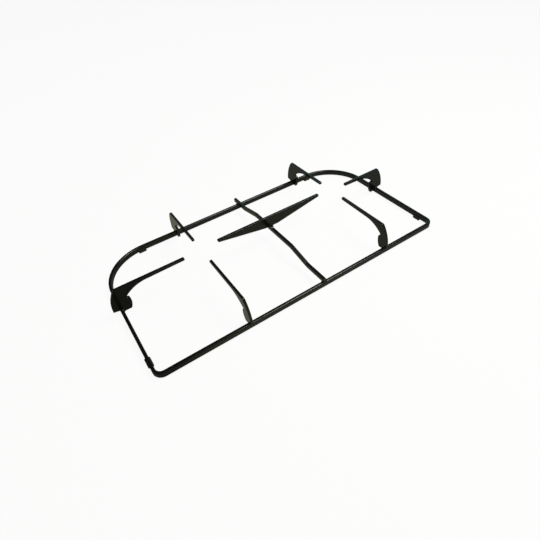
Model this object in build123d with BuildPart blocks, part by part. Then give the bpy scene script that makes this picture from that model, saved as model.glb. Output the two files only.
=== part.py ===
"""Pan support for two burners of a gas hob, welded from steel strip and plate and enamelled.

Millimetres, +Z up, X along the long side and Y from front to back. The origin is at the
middle of the part's plan, on the surface that the feet stand on. Sizes are over the enamel.
"""

import os

from build123d import *

# Frame: one strip on edge, bent into a ring with wide bends at the back
frame_length = 450.0
frame_width = 232.5
strip_thickness = 4.5
strip_height = 8.5
strip_rounding = 1.2
front_bend_radius = 10.0
back_bend_radius = 68.0

# Burners: their spacing, and how far their middle is from the middle of the ring
burner_spacing = 224.8
burner_shift_x = 13.5
burner_shift_y = 6.4
burner_clearance = 26.0

# Fingers: plates that stand on the strip, with a heel outside it and a lug inside it
pan_height = 47.0
plate_thickness = 3.6
heel_overhang = 8.0
heel_lean = 11.5
heel_rise = 1.5
lug_reach = 13.5
lug_drop = 4.0
lug_taper = 3.0
lug_bulge = 1.8
lug_shoulder = 1.2
throat_height = 27.3
throat_depth = 4.8
throat_run = 33.0
arm_depth = 5.0
tip_depth = 4.0

# Front fingers: the heel and the lug are narrower
front_heel_overhang = 1.5
front_heel_lean = 12.5
front_lug_reach = 11.0

# Corner radii of the blanked plates
heel_top_radius = 2.5
tip_radius = 1.4
throat_radius = 1.0
lug_top_radius = 2.6
lug_foot_radius = 1.6
belly_radius = 6.0
tab_radius = 1.0

# Cross bar: lies on the front and back strips, with its middle raised
cross_shift_x = 15.3
cross_width = 4.6
cross_height = 6.5
cross_rounding = 1.0
cross_rise = 8.4
cross_raised_length = 94.0
cross_ramp = 38.0
cross_bend_radius = 26.0
cross_back_overhang = 6.8

# Double finger: stands on the cross bar, with a tip for each burner
double_shift_y = 10.6
double_length = 175.0
double_flat = 22.0
tab_height = 3.3

# Feet: saddles pushed onto the strip from below
foot_length = 12.0
foot_base = 2.5
foot_wall = 1.4
foot_grip = 4.0
foot_chamfer = 0.9
foot_from_front = 29.0
foot_from_end = 68.0

# Places worked out from the sizes above
strip_half = strip_thickness / 2
path_length = frame_length - strip_thickness
path_width = frame_width - strip_thickness
ring_y = (front_heel_overhang - heel_overhang) / 2
left_x = -path_length / 2
right_x = path_length / 2
front_y = ring_y - path_width / 2
back_y = ring_y + path_width / 2
seat_height = foot_base + strip_height
burner_y = ring_y + burner_shift_y
burner_left_x = burner_shift_x - burner_spacing / 2
burner_right_x = burner_shift_x + burner_spacing / 2
cross_low = seat_height + cross_height / 2
cross_high = cross_low + cross_rise
cross_top = cross_high + cross_height / 2
double_y = ring_y + double_shift_y


def ring_plan(grow):
    """Plan of the strip's centreline as a filled outline, moved outwards by grow."""
    with BuildSketch() as plan:
        with Locations((0, ring_y)):
            Rectangle(path_length + 2 * grow, path_width + 2 * grow)
        fillet(plan.vertices().group_by(Axis.Y)[0], front_bend_radius + grow)
        fillet(plan.vertices().group_by(Axis.Y)[-1], back_bend_radius + grow)
    return plan.sketch


def ring_band(half):
    """Plan of a band along the whole ring, half wide on each side of the strip's centreline."""
    with BuildSketch() as band:
        add(ring_plan(half))
        add(ring_plan(-half), mode=Mode.SUBTRACT)
    return band.sketch


def round_corners(sketch, corners):
    """Rounds the corner of the sketch that is nearest to each point, by the radius beside it."""
    for point, radius in corners:
        fillet(sketch.vertices().sort_by_distance(point)[0], radius)


def finger_blank(arm_end, overhang, lean, reach):
    """Outline of a finger: x inwards from the middle of the strip, y up from the surface."""
    heel_foot = (-strip_half - overhang, seat_height + heel_rise)
    heel_top = (heel_foot[0] + lean, pan_height)
    tip_top = (arm_end, pan_height)
    tip_low = (arm_end, pan_height - tip_depth)
    throat = (strip_half + reach - throat_depth, throat_height)
    arm_root = (throat[0] + throat_run, pan_height - arm_depth)
    lug_top = (strip_half + reach, throat_height - lug_shoulder)
    lug_foot = (strip_half + reach - lug_taper, seat_height - lug_drop)
    lug_inner = (strip_half, seat_height - lug_drop)
    with BuildSketch() as blank:
        with BuildLine():
            TangentArc(heel_foot, heel_top, tangent=(0, 1))
            Polyline(heel_top, tip_top, tip_low, arm_root)
            TangentArc(arm_root, throat, tangent=(-1, 0))
            Line(throat, lug_top)
            SagittaArc(lug_top, lug_foot, lug_bulge)
            Polyline(lug_foot, lug_inner, (strip_half, seat_height), (-strip_half, seat_height), heel_foot)
        make_face()
        round_corners(blank, (
            (heel_top, heel_top_radius),
            (tip_top, tip_radius),
            (tip_low, tip_radius),
            (throat, throat_radius),
            (lug_top, lug_top_radius),
            (lug_foot, lug_foot_radius),
        ))
    return blank.sketch


def double_blank():
    """Outline of the double finger: x from the cross bar along the long side, y up from the surface."""
    tip = double_length / 2
    tip_low = pan_height - tip_depth
    belly = cross_top + tab_height
    flat = double_flat / 2
    tab = cross_width / 2
    with BuildSketch() as blank:
        with BuildLine():
            Polyline((0, pan_height), (tip, pan_height), (tip, tip_low), (flat, belly), (tab, belly),
                     (tab, cross_top), (0, cross_top), close=True)
        make_face()
        round_corners(blank, (
            ((tip, pan_height), tip_radius),
            ((tip, tip_low), tip_radius),
            ((flat, belly), belly_radius),
            ((tab, belly), tab_radius),
        ))
        mirror(about=Plane.YZ)
    return blank.sketch


def plate(blank, plane):
    """Plate of the blank on both sides of the plane, with square blanked edges."""
    with BuildPart() as piece:
        with BuildSketch(plane):
            add(blank)
        extrude(amount=plate_thickness / 2, both=True)
    return piece.part


def finger(x, y, inwards, burner_distance, heel):
    """Finger on the strip at x, y, whose tip stops short of the burner's middle."""
    plane = Plane((x, y, 0), x_dir=inwards, z_dir=Vector(inwards).cross(Vector(0, 0, 1)))
    return plate(finger_blank(burner_distance - burner_clearance, *heel), plane)


def foot(x, y, along_x):
    """Saddle on a short stretch of the strip at x, y, which it follows round a bend."""
    with BuildPart() as piece:
        with BuildSketch():
            add(ring_band(strip_half + foot_wall))
            with Locations((x, y)):
                if along_x:
                    Rectangle(foot_length, frame_width, mode=Mode.INTERSECT)
                else:
                    Rectangle(frame_length, foot_length, mode=Mode.INTERSECT)
        extrude(amount=foot_base + foot_grip)
        chamfer(piece.edges().filter_by(Axis.Z), foot_chamfer)
        chamfer(piece.faces().sort_by(Axis.Z)[0].edges(), foot_chamfer)
        with BuildSketch(Plane.XY.offset(foot_base)):
            add(ring_band(strip_half))
        extrude(amount=strip_height, mode=Mode.SUBTRACT)
    return piece.part


# Frame
with BuildPart() as frame:
    with BuildSketch(Plane.XY.offset(foot_base)):
        add(ring_band(strip_half))
    extrude(amount=strip_height)
    rims = frame.faces().sort_by(Axis.Z)
    fillet(rims[0].edges() + rims[-1].edges(), strip_rounding)

# Cross bar
with BuildPart() as cross_bar:
    raised_front = burner_y - cross_raised_length / 2
    raised_back = burner_y + cross_raised_length / 2
    with BuildLine(Plane.YZ.offset(cross_shift_x)) as course:
        FilletPolyline(
            (front_y - strip_half, cross_low),
            (raised_front - cross_ramp, cross_low),
            (raised_front, cross_high),
            (raised_back, cross_high),
            (raised_back + cross_ramp, cross_low),
            (back_y + strip_half + cross_back_overhang, cross_low),
            radius=cross_bend_radius,
        )
    with BuildSketch(Plane(course.line @ 0, x_dir=(1, 0, 0), z_dir=course.line % 0)):
        RectangleRounded(cross_width, cross_height, cross_rounding)
    sweep()

# All pieces by name
double_plane = Plane((cross_shift_x, double_y, 0), x_dir=(1, 0, 0), z_dir=(0, -1, 0))
wide_heel = (heel_overhang, heel_lean, lug_reach)
front_heel = (front_heel_overhang, front_heel_lean, front_lug_reach)
pieces = {
    "frame": frame.part,
    "cross_bar": cross_bar.part,
    "double_finger": plate(double_blank(), double_plane),
    "left_finger": finger(left_x, burner_y, (1, 0, 0), burner_left_x - left_x, wide_heel),
    "right_finger": finger(right_x, burner_y, (-1, 0, 0), right_x - burner_right_x, wide_heel),
}
for side, x in (("left", burner_left_x), ("right", burner_right_x)):
    pieces[f"back_{side}_finger"] = finger(x, back_y, (0, -1, 0), back_y - burner_y, wide_heel)
    pieces[f"front_{side}_finger"] = finger(x, front_y, (0, 1, 0), burner_y - front_y, front_heel)
for side, way in (("left", -1), ("right", 1)):
    foot_y = front_y - strip_half + foot_from_front
    foot_x = way * (frame_length / 2 - foot_from_end)
    pieces[f"front_{side}_foot"] = foot(way * path_length / 2, foot_y, along_x=False)
    pieces[f"back_{side}_foot"] = foot(foot_x, back_y, along_x=True)

os.makedirs("parts", exist_ok=True)
for name, piece in pieces.items():
    piece.label = name
    export_step(piece, f"parts/{name}.step")
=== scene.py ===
import math

import bmesh
import bpy
from mathutils import Matrix, Vector


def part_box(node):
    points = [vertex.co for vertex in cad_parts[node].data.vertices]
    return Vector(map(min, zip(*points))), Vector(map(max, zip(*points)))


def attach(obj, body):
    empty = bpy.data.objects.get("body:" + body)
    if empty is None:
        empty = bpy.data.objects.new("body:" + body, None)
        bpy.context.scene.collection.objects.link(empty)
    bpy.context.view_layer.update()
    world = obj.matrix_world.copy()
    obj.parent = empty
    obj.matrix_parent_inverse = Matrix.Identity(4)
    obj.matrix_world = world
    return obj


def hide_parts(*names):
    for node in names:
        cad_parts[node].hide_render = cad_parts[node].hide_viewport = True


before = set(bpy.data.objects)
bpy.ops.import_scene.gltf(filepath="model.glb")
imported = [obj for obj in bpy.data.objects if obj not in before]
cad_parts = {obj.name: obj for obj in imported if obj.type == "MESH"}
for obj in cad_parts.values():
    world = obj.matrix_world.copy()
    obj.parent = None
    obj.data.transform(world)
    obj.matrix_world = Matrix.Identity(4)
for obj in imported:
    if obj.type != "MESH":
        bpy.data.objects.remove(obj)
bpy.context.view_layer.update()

MM = 0.001
UP = Vector((0, 0, 1))
WHITE = (1, 1, 1, 1)

# View of the photograph: the camera's place and turn, and its lens in pixels of a square picture
PICTURE_PIXELS = 540.0
CAMERA_PLACE = Vector((-223.9, -407.6, 401.9)) * MM
CAMERA_AZIMUTH = math.radians(-30.31)
CAMERA_ELEVATION = math.radians(44.04)
CAMERA_ROLL = math.radians(5.31)
LENS_PIXELS = 406.1
LENS_CENTRE_PIXELS = (277.3, 268.45)
NEAREST_SEEN = 10 * MM

# Edges: the glaze rounds the blanked plates and the bar's ends, and the mould rounds the feet
MERGE_DISTANCE = 0.002 * MM
FLAT_ANGLE = math.radians(0.5)
SHARP_ANGLE = math.radians(40)
FOOT_ANGLE = math.radians(20)
EDGE_SEGMENTS = 3
PLATE_EDGE = 0.35 * MM
BAR_EDGE = 0.3 * MM
FOOT_EDGE = 0.22 * MM

# Welds: concave seams under the enamel, beside what stands on the strip or on the cross bar
STRIP_THICKNESS = 4.5 * MM
STRIP_ROUNDING = 1.2 * MM
BAR_ROUNDING = 1.0 * MM
LUG_DROP = 4.0 * MM
SEAM_LEG = 1.6 * MM
SEAM_STEPS = 5
SEAM_TURN = math.radians(25)

# Steps of a seam's end: how far each goes, in legs, and the share of the section that it leaves
SEAM_TAPER = ((0.25, 0.85), (0.17, 0.6), (0.08, 0.3))

# Way into the ring from each of its sides
INWARDS = {
    "left": Vector((1, 0, 0)),
    "right": Vector((-1, 0, 0)),
    "front": Vector((0, 1, 0)),
    "back": Vector((0, -1, 0)),
}

# Noise in the finishes
NOISE_DETAIL = 2.0
NOISE_ROUGHNESS = 0.55

# Enamel: black glass with slow clouds, an orange peel, a fine grain and pinholes
ENAMEL_DARK = (0.0034, 0.0037, 0.0027, 1)
ENAMEL_LIGHT = (0.0056, 0.0054, 0.0040, 1)
ENAMEL_INDEX = 1.5
ENAMEL_ROUGHNESS = 0.12
CLOUD_SIZE = 42 * MM
CLOUD_DETAIL = 3.0
CLOUD_RANGE = (0.35, 0.65)
CLOUD_ROUGHNESS = 0.08
PEEL_SIZE = 4.5 * MM
PEEL_HEIGHT = 0.012 * MM
PEEL_STRENGTH = 1.0
GRAIN_SIZE = 0.5 * MM
GRAIN_SHARE = 0.08
GRAIN_ROUGHNESS = 0.04
PINHOLE_SIZE = 1.6 * MM
PINHOLE_DETAIL = 0.0
PINHOLE_RANGE = (0.74, 0.80)
PINHOLE_SHARE = 0.2
PINHOLE_ROUGHNESS = 0.05

# Rubber: matt black with a bloom and the grain of its mould
RUBBER_DARK = (0.007, 0.007, 0.006, 1)
RUBBER_LIGHT = (0.014, 0.014, 0.012, 1)
RUBBER_INDEX = 1.5
RUBBER_ROUGHNESS = 0.5
BLOOM_SIZE = 4 * MM
BLOOM_DETAIL = 3.0
BLOOM_RANGE = (0.3, 0.7)
BLOOM_ROUGHNESS = 0.2
MOULD_SIZE = 0.35 * MM
MOULD_HEIGHT = 0.03 * MM
MOULD_STRENGTH = 0.4

# Studio: a white floor that curves up into a low wall
FLOOR_RADIUS = 7.0
FLOOR_SEGMENTS = 64
FLOOR_PAPER = (0.85, 0.85, 0.83, 1)
FLOOR_SHADOW = 0.06
WALL_HEIGHT = 2.6
COVE_RADIUS = 1.2
COVE_STEPS = 12
ROOM_WHITE = 0.942
ROOM_LIGHT = 0.05

# Floor in reflections, a painted reflection: to glossy rays the floor glows at this brightness, dim on
# the left, warm in the middle and cool on the right, with where the tints change
REFLECTED_WHITE = 0.26
REFLECTED_DIM = (0.50, 0.52, 0.42, 1)
DIM_TO_WARM = (-0.21, -0.13)
REFLECTED_WARM = (1.22, 1.24, 0.92, 1)
WARM_TO_COOL = (-0.06, 0.20)
REFLECTED_COOL = (1.06, 1.10, 0.88, 1)

# Lamps: a key softbox overhead on the right, and a cool panel at the back right
KEY_PLACE = (0.50, -0.25, 1.10)
KEY_SIZE = (0.65, 0.58)
KEY_WATTS = 15.0
KEY_COLOUR = (1.0, 0.95, 0.88)
PANEL_PLACE = (0.95, 1.15, 0.92)
PANEL_SIZE = (1.8, 0.36)
PANEL_WATTS = 1.0
PANEL_COLOUR = (0.30, 0.86, 1.0)


class Socket:
    """A shader socket that takes part in Python sums: each sum adds its Math node."""

    def __init__(self, tree, socket=None):
        self.tree = tree
        self.socket = socket

    def node(self, kind, settings=None, values=None, output=0):
        """Adds a node, sets its settings and then its sockets, and wraps one of its outputs."""
        made = self.tree.nodes.new(kind)
        for name, value in (settings or {}).items():
            setattr(made, name, value)
        for name, value in (values or {}).items():
            if isinstance(value, Socket):
                self.tree.links.new(value.socket, made.inputs[name])
            else:
                made.inputs[name].default_value = value
        return Socket(self.tree, made.outputs[output] if made.outputs else None)

    def math(self, operation, first, second):
        return self.node("ShaderNodeMath", {"operation": operation}, {0: first, 1: second})

    def __add__(self, other):
        return self.math("ADD", self, other)

    __radd__ = __add__

    def __mul__(self, other):
        return self.math("MULTIPLY", self, other)

    __rmul__ = __mul__

    def __sub__(self, other):
        return self.math("SUBTRACT", self, other)

    def __rsub__(self, other):
        return self.math("SUBTRACT", other, self)

    def larger(self, other):
        return self.math("MAXIMUM", self, other)

    def between(self, low, high):
        """0 below low, 1 above high and a soft step between them."""
        limits = {"Value": self, "From Min": low, "From Max": high}
        return self.node("ShaderNodeMapRange", {"interpolation_type": "SMOOTHSTEP"}, limits)


def new_material(name):
    """An empty material, and a wrapper that adds nodes to it."""
    material = bpy.data.materials.new(name)
    material.use_nodes = True
    material.node_tree.nodes.clear()
    return material, Socket(material.node_tree)


def object_place(shader):
    """Place on the piece, in metres."""
    return shader.node("ShaderNodeTexCoord", None, None, "Object")


def ray(shader, kind):
    """1 on rays of one kind, such as Is Camera Ray, and 0 on others."""
    return shader.node("ShaderNodeLightPath", None, None, kind)


def noise(shader, place, size, detail=NOISE_DETAIL):
    """Noise from 0 to 1, with its grain's size in metres."""
    values = {"Vector": place, "Scale": 1.0 / size, "Detail": detail, "Roughness": NOISE_ROUGHNESS}
    return shader.node("ShaderNodeTexNoise", None, values)


def mixed_colour(shader, factor, first, second):
    """Colour between two colours: sockets 6 and 7, and output 2, are the node's colours."""
    values = {0: factor, 6: first, 7: second}
    return shader.node("ShaderNodeMix", {"data_type": "RGBA"}, values, 2)


def skin(shader, colour, roughness, index, height, strength, distance):
    """Ends a material with one shader of that colour, roughness and index, bumped by a height."""
    relief = {"Strength": strength, "Distance": distance, "Height": height}
    surface = shader.node("ShaderNodeBsdfPrincipled", None, {
        "Base Color": colour,
        "Roughness": roughness,
        "IOR": index,
        "Normal": shader.node("ShaderNodeBump", None, relief),
    })
    shader.node("ShaderNodeOutputMaterial", None, {"Surface": surface})


def black_enamel():
    """Vitreous enamel: black glass fired on steel, with a faint orange peel and a few pinholes."""
    material, shader = new_material("black_enamel")
    place = object_place(shader)
    cloud = noise(shader, place, CLOUD_SIZE, CLOUD_DETAIL)
    peel = noise(shader, place, PEEL_SIZE)
    grain = noise(shader, place, GRAIN_SIZE)
    pinhole = noise(shader, place, PINHOLE_SIZE, PINHOLE_DETAIL).between(*PINHOLE_RANGE)
    colour = mixed_colour(shader, cloud.between(*CLOUD_RANGE), ENAMEL_DARK, ENAMEL_LIGHT)
    roughness = ENAMEL_ROUGHNESS + CLOUD_ROUGHNESS * cloud + GRAIN_ROUGHNESS * grain
    roughness += PINHOLE_ROUGHNESS * pinhole
    height = peel + GRAIN_SHARE * grain - PINHOLE_SHARE * pinhole
    skin(shader, colour, roughness, ENAMEL_INDEX, height, PEEL_STRENGTH, PEEL_HEIGHT)
    return material


def black_rubber():
    """Moulded rubber: matt, with a fine bloom and the grain of a spark-eroded mould."""
    material, shader = new_material("black_rubber")
    place = object_place(shader)
    bloom = noise(shader, place, BLOOM_SIZE, BLOOM_DETAIL)
    mould = noise(shader, place, MOULD_SIZE)
    colour = mixed_colour(shader, bloom.between(*BLOOM_RANGE), RUBBER_DARK, RUBBER_LIGHT)
    roughness = RUBBER_ROUGHNESS + BLOOM_ROUGHNESS * bloom
    skin(shader, colour, roughness, RUBBER_INDEX, mould, MOULD_STRENGTH, MOULD_HEIGHT)
    return material


def white_floor():
    """Paper that the camera sees as white and that still takes a soft shadow; to reflections it glows
    dimmer, as a painted reflection that is dark on the left and tinted warm, then cool, towards the
    right.
    """
    material, shader = new_material("white_floor")
    plain_ray = ray(shader, "Is Camera Ray").larger(ray(shader, "Is Transmission Ray"))
    glossy_ray = ray(shader, "Is Glossy Ray")
    right = shader.node("ShaderNodeSeparateXYZ", None, {0: object_place(shader)}, "X")
    # Painted reflection: the tints that glossy rays see on the floor, dim on the left, then warm, then
    # cool on the right
    painted_reflection_left = mixed_colour(shader, right.between(*DIM_TO_WARM), REFLECTED_DIM, REFLECTED_WARM)
    painted_reflection_tint = mixed_colour(shader, right.between(*WARM_TO_COOL), painted_reflection_left, REFLECTED_COOL)
    paper = shader.node("ShaderNodeBsdfDiffuse", None, {"Color": FLOOR_PAPER})
    white = shader.node("ShaderNodeEmission", None, {
        "Color": mixed_colour(shader, glossy_ray, WHITE, painted_reflection_tint),
        "Strength": plain_ray.larger(REFLECTED_WHITE * glossy_ray),
    })
    share = plain_ray * (1 - FLOOR_SHADOW) + glossy_ray
    surface = shader.node("ShaderNodeMixShader", None, {0: share, 1: paper, 2: white})
    shader.node("ShaderNodeOutputMaterial", None, {"Surface": surface})
    return material


def as_object(shape, name, material):
    """Turns a bmesh into a smooth object with that material, at the origin."""
    mesh = bpy.data.meshes.new(name)
    for face in shape.faces:
        face.smooth = True
    for line in shape.edges:
        line.smooth = line.calc_face_angle(0.0) < SHARP_ANGLE
    shape.to_mesh(mesh)
    shape.free()
    mesh.materials.append(material)
    piece = bpy.data.objects.new(name, mesh)
    bpy.context.scene.collection.objects.link(piece)
    return piece


def dress(piece):
    """Puts a piece on the part, with flat faces that stay flat beside rounded edges."""
    normals = piece.modifiers.new("flat faces stay flat", "WEIGHTED_NORMAL")
    normals.keep_sharp = True
    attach(piece, "root")


def glazed(node, edge, angle, material):
    """Copy of a CAD piece with its sharp edges rounded, which stands for it."""
    shape = bmesh.new()
    shape.from_mesh(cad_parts[node].data)
    bmesh.ops.remove_doubles(shape, verts=shape.verts, dist=MERGE_DISTANCE)
    bmesh.ops.dissolve_limit(shape, angle_limit=FLAT_ANGLE, verts=shape.verts, edges=shape.edges)
    sharp = [line for line in shape.edges if line.calc_face_angle(0.0) > angle]
    if sharp:
        bmesh.ops.bevel(shape, geom=sharp, offset=edge, offset_type="OFFSET", segments=EDGE_SEGMENTS,
                        profile=0.5, affect="EDGES", material=-1, clamp_overlap=True)
    piece = as_object(shape, node + "_glazed", material)
    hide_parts(node)
    dress(piece)


def only(kind, geometry):
    """The elements of one kind in an operator's result."""
    return [element for element in geometry if isinstance(element, kind)]


def extruded(shape, face, move):
    """Extrudes a face by a move and returns its new face."""
    swept = bmesh.ops.extrude_face_region(shape, geom=[face, *face.edges])["geom"]
    bmesh.ops.translate(shape, verts=only(bmesh.types.BMVert, swept), vec=move)
    return only(bmesh.types.BMFace, swept)[0]


def tapered(shape, face, place, outwards, rounding, drop):
    """Ends a seam: takes it over a rounded edge, down by a drop if there is one, and to a point."""
    axis = UP.cross(outwards)
    angle = math.pi / 2 if drop else SEAM_TURN
    turn = Matrix.Rotation(angle, 3, axis)
    hub = place - rounding * UP
    bend = bmesh.ops.spin(shape, geom=[face, *face.edges, *face.verts], cent=hub, axis=axis,
                          angle=angle, steps=SEAM_STEPS)
    face = only(bmesh.types.BMFace, bend["geom_last"])[0]
    place = hub + turn @ (rounding * UP)
    way = turn @ outwards
    if drop:
        face = extruded(shape, face, way * (drop - rounding))
        place += way * (drop - rounding)
    for step, size in SEAM_TAPER:
        face = extruded(shape, face, way * step * SEAM_LEG)
        place += way * step * SEAM_LEG
        bmesh.ops.scale(shape, vec=Vector((size, size, size)), verts=face.verts,
                        space=Matrix.Translation(-place))


def seam(shape, corner, along, aside, run, rounding, drop=0.0):
    """Concave weld in a corner, along a flat run and over the rounded edges at its ends."""
    heel = shape.verts.new(corner)
    toe = shape.verts.new(corner + SEAM_LEG * UP)
    arc = bmesh.ops.spin(shape, geom=[toe], cent=corner + SEAM_LEG * (UP + aside), axis=aside.cross(UP),
                         angle=math.pi / 2, steps=SEAM_STEPS)
    last = only(bmesh.types.BMVert, arc["geom_last"])[0]
    shape.edges.new((heel, toe))
    shape.edges.new((last, heel))
    outline = [line for line in shape.edges if line.is_wire]
    start = bmesh.ops.contextual_create(shape, geom=outline)["faces"][0]
    end = extruded(shape, start, along * run)
    tapered(shape, start, corner, -along, rounding, 0.0)
    tapered(shape, end, corner + along * run, along, rounding, drop)


def finger_welds(shape, node, inwards):
    """Seams on both sides of a finger, over the strip's top and down its inner face."""
    low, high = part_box("frame")
    plate_low, plate_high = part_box(node)
    across = inwards.cross(UP)
    reach = abs((high - low).dot(inwards)) / 2 - STRIP_THICKNESS / 2
    strip = (low + high) / 2 - inwards * reach
    strip += across * ((plate_low + plate_high) / 2 - strip).dot(across)
    strip.z = high.z
    half = abs((plate_high - plate_low).dot(across)) / 2
    flat = STRIP_THICKNESS / 2 - STRIP_ROUNDING
    for aside in (across, -across):
        corner = strip + aside * half - inwards * flat
        seam(shape, corner, inwards, aside, 2 * flat, STRIP_ROUNDING, LUG_DROP)


def bar_welds(shape):
    """Seams on both sides of the cross bar on each strip, and of the double finger on the bar."""
    low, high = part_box("frame")
    bar_low, bar_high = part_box("cross_bar")
    plate_low, plate_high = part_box("double_finger")
    run = STRIP_THICKNESS - 2 * STRIP_ROUNDING
    for y in (low.y + STRIP_ROUNDING, high.y - STRIP_THICKNESS + STRIP_ROUNDING):
        for x, aside in ((bar_low.x, INWARDS["right"]), (bar_high.x, INWARDS["left"])):
            seam(shape, Vector((x, y, high.z)), INWARDS["front"], aside, run, STRIP_ROUNDING)
    run = bar_high.x - bar_low.x - 2 * BAR_ROUNDING
    for y, aside in ((plate_low.y, INWARDS["back"]), (plate_high.y, INWARDS["front"])):
        corner = Vector((bar_low.x + BAR_ROUNDING, y, bar_high.z))
        seam(shape, corner, INWARDS["left"], aside, run, BAR_ROUNDING)


def welds(material):
    """All weld seams as one piece."""
    shape = bmesh.new()
    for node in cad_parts:
        way = node.split("_")[0]
        if node.endswith("finger") and way in INWARDS:
            finger_welds(shape, node, INWARDS[way])
    bar_welds(shape)
    bmesh.ops.recalc_face_normals(shape, faces=shape.faces)
    dress(as_object(shape, "welds", material))


def photo_camera():
    """Camera at the photograph's place, with the axes that its turn gives."""
    forward = Vector((
        -math.sin(CAMERA_AZIMUTH) * math.cos(CAMERA_ELEVATION),
        math.cos(CAMERA_AZIMUTH) * math.cos(CAMERA_ELEVATION),
        -math.sin(CAMERA_ELEVATION),
    ))
    level = Vector((math.cos(CAMERA_AZIMUTH), math.sin(CAMERA_AZIMUTH), 0.0))
    upright = level.cross(forward)
    right = level * math.cos(CAMERA_ROLL) - upright * math.sin(CAMERA_ROLL)
    up = level * math.sin(CAMERA_ROLL) + upright * math.cos(CAMERA_ROLL)
    lens = bpy.data.cameras.new("photo_camera")
    lens.lens = LENS_PIXELS / PICTURE_PIXELS * lens.sensor_width
    lens.shift_x = 0.5 - LENS_CENTRE_PIXELS[0] / PICTURE_PIXELS
    lens.shift_y = LENS_CENTRE_PIXELS[1] / PICTURE_PIXELS - 0.5
    lens.clip_start = NEAREST_SEEN
    camera = bpy.data.objects.new("photo_camera", lens)
    bpy.context.scene.collection.objects.link(camera)
    turn = Matrix((right, up, -forward)).transposed().to_4x4()
    camera.matrix_world = Matrix.Translation(CAMERA_PLACE) @ turn
    bpy.context.scene.camera = camera


def studio_floor():
    """Round floor whose rim curves up into a low wall."""
    shape = bmesh.new()
    bmesh.ops.create_circle(shape, cap_ends=True, radius=FLOOR_RADIUS, segments=FLOOR_SEGMENTS)
    rim = [line for line in shape.edges if line.is_boundary]
    wall = bmesh.ops.extrude_edge_only(shape, edges=rim)
    bmesh.ops.translate(shape, verts=only(bmesh.types.BMVert, wall["geom"]), vec=WALL_HEIGHT * UP)
    bmesh.ops.bevel(shape, geom=rim, offset=COVE_RADIUS, offset_type="OFFSET", segments=COVE_STEPS,
                    profile=0.5, affect="EDGES", material=-1, clamp_overlap=True)
    bmesh.ops.recalc_face_normals(shape, faces=shape.faces)
    as_object(shape, "studio_floor", white_floor())


def softbox(name, place, size, watts, colour):
    """Rectangular lamp that faces the part."""
    light = bpy.data.lights.new(name, "AREA")
    light.shape = "RECTANGLE"
    light.size, light.size_y = size
    light.energy = watts
    light.color = colour
    lamp = bpy.data.objects.new(name, light)
    bpy.context.scene.collection.objects.link(lamp)
    lamp.location = place
    lamp.rotation_euler = (-Vector(place)).to_track_quat("-Z", "Y").to_euler()


def room():
    """Room above the wall: white to the camera, and dim and even to the part."""
    world = bpy.data.worlds.new("room")
    bpy.context.scene.world = world
    world.use_nodes = True
    world.node_tree.nodes.clear()
    shader = Socket(world.node_tree)
    plain_ray = ray(shader, "Is Camera Ray").larger(ray(shader, "Is Transmission Ray"))
    seen = (ROOM_WHITE * plain_ray).larger(ROOM_LIGHT)
    walls = shader.node("ShaderNodeBackground", None, {"Color": WHITE, "Strength": seen})
    shader.node("ShaderNodeOutputWorld", None, {"Surface": walls})


enamel = black_enamel()
rubber = black_rubber()
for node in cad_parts:
    if node.endswith("foot"):
        glazed(node, FOOT_EDGE, FOOT_ANGLE, rubber)
    elif node == "cross_bar":
        glazed(node, BAR_EDGE, SHARP_ANGLE, enamel)
    else:
        glazed(node, PLATE_EDGE, SHARP_ANGLE, enamel)
welds(enamel)

photo_camera()
studio_floor()
softbox("key", KEY_PLACE, KEY_SIZE, KEY_WATTS, KEY_COLOUR)
softbox("back_panel", PANEL_PLACE, PANEL_SIZE, PANEL_WATTS, PANEL_COLOUR)
room()
bpy.context.scene.view_settings.view_transform = "Standard"
